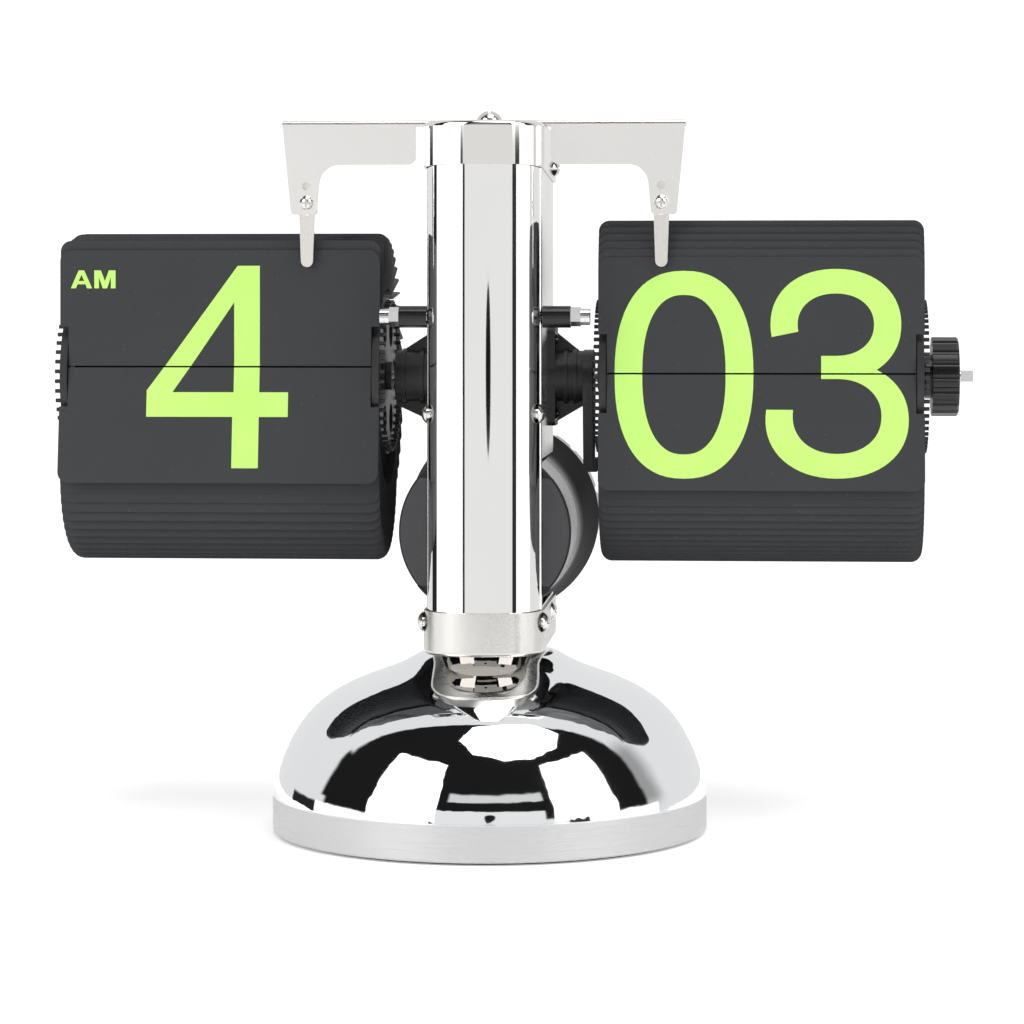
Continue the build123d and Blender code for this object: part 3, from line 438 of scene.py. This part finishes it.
def digit_four(left, right, bottom, top):
    """Loops of an open-topped four: stem, bar and diagonal."""
    width = right - left
    height = top - bottom
    stem_left = left + 0.609 * width
    stem_right = left + 0.796 * width
    bar_low = bottom + 0.253 * height
    bar_high = bottom + 0.375 * height
    notch = bottom + 0.384 * height
    outer = [(stem_left, bottom), (stem_right, bottom), (stem_right, bar_low), (right, bar_low),
             (right, bar_high), (stem_right, bar_high), (stem_right, top),
             (left + 0.64 * width, top),
             (left, notch), (left, bar_low), (stem_left, bar_low)]
    inner = [(stem_left + 0.2, bar_high), (left + 0.182 * width, bar_high),
             (stem_left + 0.2, bottom + 0.82 * height)]
    return [outer, inner]


def letter_a(left, right, bottom, top):
    """Loops of the A of the day mark."""
    middle = (left + right) / 2
    leg = 1.15
    bar = bottom + 0.9
    bar_top = bar + 0.75
    outer = [(left, bottom), (left + leg, bottom),
             (left + leg + 0.35, bar), (right - leg - 0.35, bar),
             (right - leg, bottom), (right, bottom), (middle + 0.62, top), (middle - 0.62, top)]
    inner = [(left + leg + 0.62, bar_top), (middle, top - 1.0), (right - leg - 0.62, bar_top)]
    return [outer, inner]


def letter_m(left, right, bottom, top):
    """Loop of the M of the day mark."""
    stem = 1.05
    middle = (left + right) / 2
    return [[(left, bottom), (left + stem, bottom), (left + stem, top - 1.5),
             (middle - 0.5, bottom), (middle + 0.5, bottom), (right - stem, top - 1.5),
             (right - stem, bottom), (right, bottom), (right, top), (right - 1.5, top),
             (middle, bottom + 1.6), (left + 1.5, top), (left, top)]]


def flat_print(loops, split_z, upper):
    """Mesh of one half of a print, flat on the XZ plane, in millimetres."""
    data = bpy.data.curves.new("print_outline", "CURVE")
    data.dimensions = "2D"
    data.fill_mode = "BOTH"
    data.extrude = PRINT_THICK / MM / 2
    for loop in loops:
        spline = data.splines.new("POLY")
        spline.points.add(len(loop) - 1)
        for point, (x, z) in zip(spline.points, loop):
            point.co = (x, z, 0.0, 1.0)
        spline.use_cyclic_u = True
    holder = bpy.data.objects.new("print_outline", data)
    mesh = bpy.data.meshes.new_from_object(holder)
    bpy.data.objects.remove(holder)
    bpy.data.curves.remove(data)
    body = bmesh.new()
    body.from_mesh(mesh)
    bmesh.ops.remove_doubles(body, verts=body.verts, dist=0.0005)
    geometry = body.verts[:] + body.edges[:] + body.faces[:]
    cut = bmesh.ops.bisect_plane(body, geom=geometry, plane_co=(0, split_z, 0), plane_no=(0, 1, 0),
                                 clear_inner=upper, clear_outer=not upper)
    edges = [item for item in cut["geom_cut"] if isinstance(item, bmesh.types.BMEdge)]
    bmesh.ops.holes_fill(body, edges=edges, sides=0)
    bmesh.ops.triangulate(body, faces=[face for face in body.faces if len(face.verts) > 4])
    body.to_mesh(mesh)
    body.free()
    return mesh


def place_print(name, loops, cut, upper, pivot, rise, outward, body, ink):
    """Lay one half of a print on a leaf.

    cut is the height of the leaf's edge at the split, pivot the leaf's hinge. rise is the direction
    on the leaf that becomes up when the print is read, outward stands off the printed face.
    """
    mesh = flat_print(loops, cut, upper)
    lift = outward * (LEAF_THICK / 2 + PRINT_LIFT)
    for vertex in mesh.vertices:
        x, z, depth = vertex.co
        reach = z * MM - pivot.z
        vertex.co = Vector((x * MM, pivot.y, pivot.z)) + rise * reach + lift + outward * depth * MM
    mesh.materials.append(ink)
    piece = bpy.data.objects.new(name, mesh)
    piece.visible_glossy = False
    scene.collection.objects.link(piece)
    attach(piece, body)


# The loops of the prints take left, right, bottom and top in millimetres
AM_LOOPS = letter_a(-93.7, -88.9, 120.3, 124.3) + letter_m(-88.4, -83.6, 120.3, 124.3)
HOUR_LOOPS = digit_four(-76.4, -44.65, 80.2, 125.3)
MINUTE_ZERO = digit_zero(27.95, 58.54, 78.28, 124.1)
MINUTE_LOOPS = MINUTE_ZERO + digit_three(61.2, 92.55, 78.4, 124.5)
NEXT_MINUTE_LOOPS = MINUTE_ZERO + digit_four(60.6, 92.9, 78.4, 124.3)


def joint_place(name):
    """Pivot of a joint."""
    for joint in frame["joints"]:
        if joint["name"] == name:
            return Vector(joint["pos_m"])
    raise ValueError(name)


def print_drum(label, joint, tilt, loops, next_loops, flap, ink):
    """Prints of one drum: both halves of the reading, and the next one on the turning leaf."""
    pivot = joint_place(joint)
    up = Vector((0, 0, 1))
    front = Vector((0, -1, 0))
    down = Vector((0, -math.sin(tilt), -math.cos(tilt)))
    face = Vector((0, -math.cos(tilt), math.sin(tilt)))
    upper_low, upper_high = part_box(label + "_leaf_upper")
    lower_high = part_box(label + "_leaf_lower")[1]
    flat = Vector((0, (upper_low.y + upper_high.y) / 2, pivot.z))
    upper_cut = upper_low.z / MM
    lower_cut = lower_high.z / MM
    place_print(label + "_print_upper", loops, upper_cut, True, flat, up, front, "stand", ink)
    place_print(label + "_print_lower", loops, lower_cut, False, pivot, -down, face, flap, ink)
    place_print(label + "_print_back", next_loops, upper_cut, True, pivot, down, -face, flap, ink)


# ---------------------------------------------------------------- studio
FLOOR_RADIUS = 0.34
FLOOR_EDGES = 96
FLOOR_GLOW = 0.3


def add_floor():
    """Plain pale floor, much larger than the object."""
    mesh = bpy.data.meshes.new("studio_floor")
    body = bmesh.new()
    bmesh.ops.create_circle(body, cap_ends=True, segments=FLOOR_EDGES, radius=FLOOR_RADIUS)
    body.to_mesh(mesh)
    body.free()
    material, tree, shader = start_material("floor_white", 0.0, 0.1)
    cloud = grain(tree, 3.0, 2.0)
    socket_value(tree, shader.inputs["Base Color"],
                 blend_colour(tree, cloud, rgba(0.93, 0.93, 0.93), rgba(0.95, 0.95, 0.95)))
    shader.inputs["Roughness"].default_value = 0.9
    shader.inputs["Emission Color"].default_value = rgba(1.0, 1.0, 1.0)
    shader.inputs["Emission Strength"].default_value = FLOOR_GLOW
    mesh.materials.append(material)
    floor = bpy.data.objects.new("studio_floor", mesh)
    scene.collection.objects.link(floor)


def band(tree, value, low, high, soft):
    """Mask that is one between two values."""
    rise = step_up(tree, value, low - soft, low + soft)
    fall = step_up(tree, value, high + soft, high - soft)
    return calc(tree, "MULTIPLY", rise, fall)


def patch(tree, sideways, upwards, left, right, low, high, soft):
    """Mask of a rectangular card, in degrees round and above the front."""
    across = band(tree, sideways, left, right, soft)
    return calc(tree, "MULTIPLY", across, band(tree, upwards, low, high, soft))


BACKDROP = 1.15
SURROUND = 0.82
SOFTBOX = 3.2
WALL = 1.3
PALE = 0.86
DARK = 0.012
FULL_DOWN = -95.0
TABLE = 4.0

# Cards round the object: left, right, low and high edge in degrees, brightness, edge softness
CARDS = [
    ("right rear fill", 90.0, 108.0, TABLE, 40.0, 0.35, 7.0),
    ("dark room in front", -93.0, 96.0, TABLE, 105.0, DARK, 1.5),
    ("dark gap at the left rear", -97.0, -85.0, 10.0, 34.0, DARK, 1.5),
    ("dark table at the far left", -122.0, -99.0, FULL_DOWN, 3.5, 0.02, 1.0),
    ("left table", -100.0, -27.0, FULL_DOWN, TABLE, WALL, 0.5),
    ("pale front table", -24.5, 46.0, FULL_DOWN, TABLE, PALE, 0.5),
    ("pale front panel", -24.0, 34.0, 3.5, 13.0, PALE, 0.5),
    ("dark seam at the left", -27.0, -24.5, FULL_DOWN, TABLE, DARK, 0.4),
    ("dark seam at the right", 46.5, 58.0, FULL_DOWN, TABLE, 0.03, 0.5),
    ("right table", 58.0, 104.0, FULL_DOWN, TABLE, WALL, 0.5),
    ("light strip over the camera", -18.0, 34.0, 24.5, 32.0, 0.7, 0.8),
    ("left softbox", -63.0, -24.0, 3.5, 48.0, SOFTBOX, 0.7),
    ("right softbox", 39.0, 76.0, 3.5, 47.0, SOFTBOX, 0.7),
]

# Level eight-sided lamp overhead; distances are shares of its height
LAMP_SIDEWAYS = 0.2
LAMP_FORWARD = 0.34
LAMP_REACH = 0.41
LAMP_TURN = math.radians(22.5)
LAMP_SOFT = 0.02


def overhead_lamp(tree, split):
    """Mask of the lamp overhead."""
    height = calc(tree, "MAXIMUM", split.outputs["Z"], 0.01)
    across = calc(tree, "DIVIDE", split.outputs["X"], height)
    toward = calc(tree, "DIVIDE", calc(tree, "MULTIPLY", split.outputs["Y"], -1.0), height)
    u = calc(tree, "ABSOLUTE", calc(tree, "SUBTRACT", across, LAMP_SIDEWAYS))
    v = calc(tree, "ABSOLUTE", calc(tree, "SUBTRACT", toward, LAMP_FORWARD))
    sides = []
    for u_share, v_share in ((math.cos(LAMP_TURN), math.sin(LAMP_TURN)),
                             (math.sin(LAMP_TURN), math.cos(LAMP_TURN))):
        along_u = calc(tree, "MULTIPLY", u, u_share)
        sides.append(calc(tree, "ADD", along_u, calc(tree, "MULTIPLY", v, v_share)))
    apothem = LAMP_REACH * math.cos(LAMP_TURN)
    farthest = calc(tree, "MAXIMUM", *sides)
    return step_up(tree, farthest, apothem * (1 + LAMP_SOFT), apothem * (1 - LAMP_SOFT))


def add_world():
    """White studio with a dark camera side, two side lamps and one overhead."""
    world = bpy.data.worlds.new("studio")
    world.use_nodes = True
    scene.world = world
    tree = world.node_tree
    background = tree.nodes["Background"]
    coords = tree.nodes.new("ShaderNodeTexCoord")
    split = tree.nodes.new("ShaderNodeSeparateXYZ")
    tree.links.new(coords.outputs["Generated"], split.inputs[0])
    toward = calc(tree, "MULTIPLY", split.outputs["Y"], -1.0)
    sideways = calc(tree, "DEGREES", calc(tree, "ARCTAN2", split.outputs["X"], toward))
    upwards = calc(tree, "DEGREES", calc(tree, "ARCSINE", split.outputs["Z"]))
    light = SURROUND
    for _, left, right, low, high, value, soft in CARDS:
        mask = patch(tree, sideways, upwards, left, right, low, high, soft)
        light = blend_value(tree, mask, light, value)
    light = blend_value(tree, overhead_lamp(tree, split), light, SOFTBOX)
    ray = tree.nodes.new("ShaderNodeLightPath")
    socket_value(tree, background.inputs["Color"], rgba(1.0, 1.0, 1.0))
    socket_value(tree, background.inputs["Strength"],
                 blend_value(tree, ray.outputs["Is Camera Ray"], light, BACKDROP))


PHOTOGRAPHER_RADIUS = 0.037
PHOTOGRAPHER_DROP = 0.027


def add_photographer():
    """Dark rounded body behind the lens, seen only in reflections."""
    mesh = bpy.data.meshes.new("studio_camera")
    body = bmesh.new()
    bmesh.ops.create_uvsphere(body, u_segments=32, v_segments=16,
                              radius=PHOTOGRAPHER_RADIUS)
    body.to_mesh(mesh)
    body.free()
    material, tree, shader = start_material("studio_black", 0.0, 0.1)
    cloud = grain(tree, 30.0)
    socket_value(tree, shader.inputs["Base Color"],
                 blend_colour(tree, cloud, rgba(0.004, 0.004, 0.004), rgba(0.008, 0.008, 0.008)))
    mesh.materials.append(material)
    lens = bpy.data.objects.new("studio_camera", mesh)
    lens.location = CAMERA_PLACE - Vector((0, 0, PHOTOGRAPHER_DROP))
    lens.visible_camera = False
    lens.visible_diffuse = False
    lens.visible_shadow = False
    scene.collection.objects.link(lens)


add_camera()
materials = make_materials()
dress_nodes(materials)
ink = print_ink()
print_drum("minute", "minute_flap_turn", MINUTE_TILT, MINUTE_LOOPS, NEXT_MINUTE_LOOPS,
           "minute_flap", ink)
print_drum("hour", "hour_flap_turn", HOUR_TILT, HOUR_LOOPS + AM_LOOPS, HOUR_LOOPS,
           "hour_flap", ink)
add_floor()
add_world()
add_photographer()
scene.view_settings.view_transform = "Standard"
